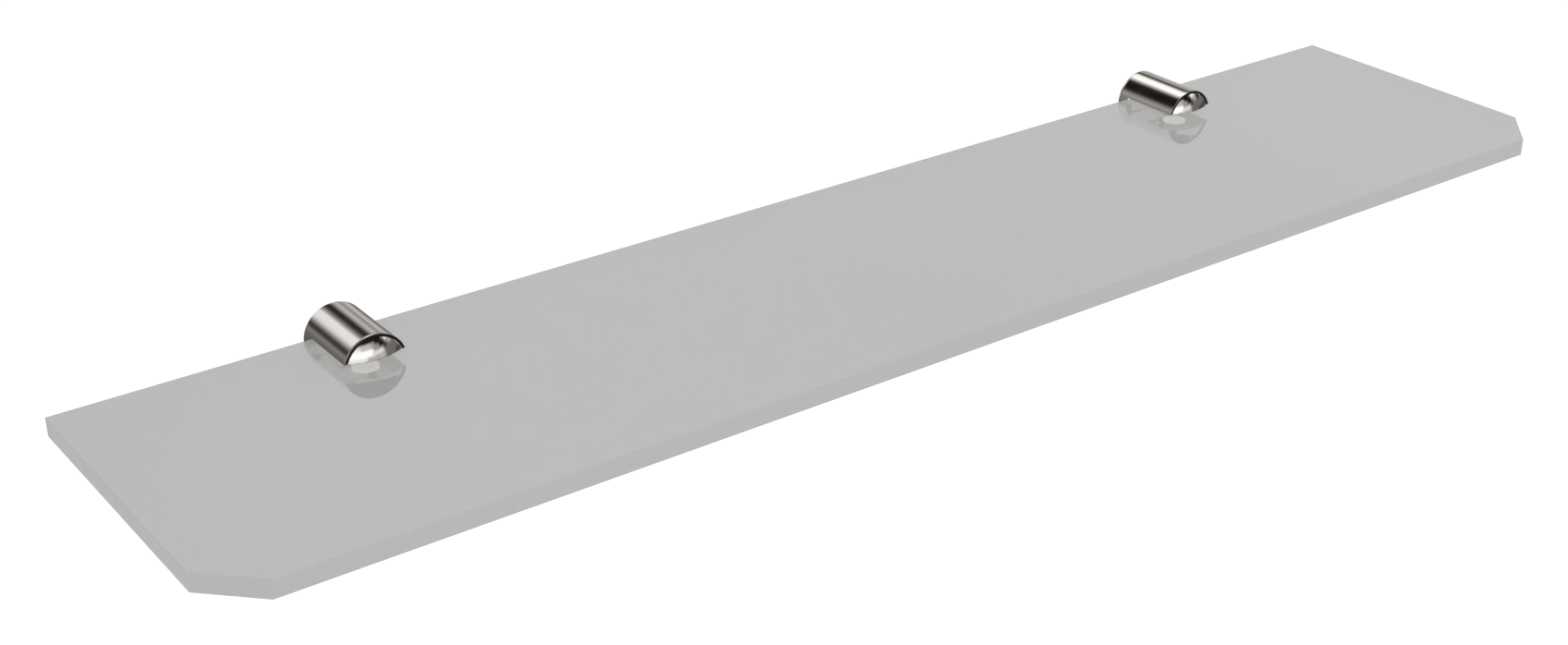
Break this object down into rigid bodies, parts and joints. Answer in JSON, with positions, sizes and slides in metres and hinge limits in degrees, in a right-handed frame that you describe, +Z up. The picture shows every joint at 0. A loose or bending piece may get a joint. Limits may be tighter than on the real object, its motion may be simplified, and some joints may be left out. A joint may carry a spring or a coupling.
{
  "type": "glass wall shelf with clamp brackets",
  "caption": "Thin rectangular glass shelf with clipped front corners, clamped in round slotted metal brackets that fix to a wall.",
  "frame": {"origin": "on the wall plane, midway between the brackets, at the height of their axes", "axes": "+X along the shelf, +Y into the wall, +Z up"},
  "size_m": [0.5, 0.115, 0.02],
  "materials": {
    "shelf_glass": "satin faces, ground edges",
    "polished_chrome": "mirror polished",
    "zinc_boss": "dull cast zinc",
    "screw_steel": "plain stainless",
    "nylon_pad": "natural nylon",
    "soft_liner": "soft translucent plastic"
  },
  "bodies": {
    "shelf": {"glass_shelf": "shelf_glass", "left_sleeve": "polished_chrome", "left_jaw_block": "polished_chrome", "left_wall_boss": "zinc_boss", "left_body_set_screw": "screw_steel", "left_upper_liner": "soft_liner", "left_back_buffer": "soft_liner", "right_sleeve": "polished_chrome", "right_jaw_block": "polished_chrome", "right_wall_boss": "zinc_boss", "right_body_set_screw": "screw_steel", "right_upper_liner": "soft_liner", "right_back_buffer": "soft_liner"},
    "left_pad": {"left_pressure_pad": "nylon_pad"},
    "left_screw": {"left_clamp_screw": "screw_steel"},
    "right_pad": {"right_pressure_pad": "nylon_pad"},
    "right_screw": {"right_clamp_screw": "screw_steel"}
  },
  "joints": [
    {"name": "left_pad_lift", "type": "slide", "parent": "shelf", "child": "left_pad", "axis": [0, 0, 1], "range_m": [-0.0008, 0]},
    {"name": "left_screw_turn", "type": "hinge", "parent": "left_pad", "child": "left_screw", "pos_m": [-0.162, -0.019, -0.006], "axis": [0, 0, 1], "range_deg": [-360, 0]},
    {"name": "right_pad_lift", "type": "slide", "parent": "shelf", "child": "right_pad", "axis": [0, 0, 1], "range_m": [-0.0008, 0]},
    {"name": "right_screw_turn", "type": "hinge", "parent": "right_pad", "child": "right_screw", "pos_m": [0.162, -0.019, -0.006], "axis": [0, 0, 1], "range_deg": [-360, 0]}
  ],
  "couplings": [
    {"joint": "left_screw_turn", "follows": "left_pad_lift", "rad_per_m": 7854},
    {"joint": "right_screw_turn", "follows": "right_pad_lift", "rad_per_m": 7854}
  ]
}
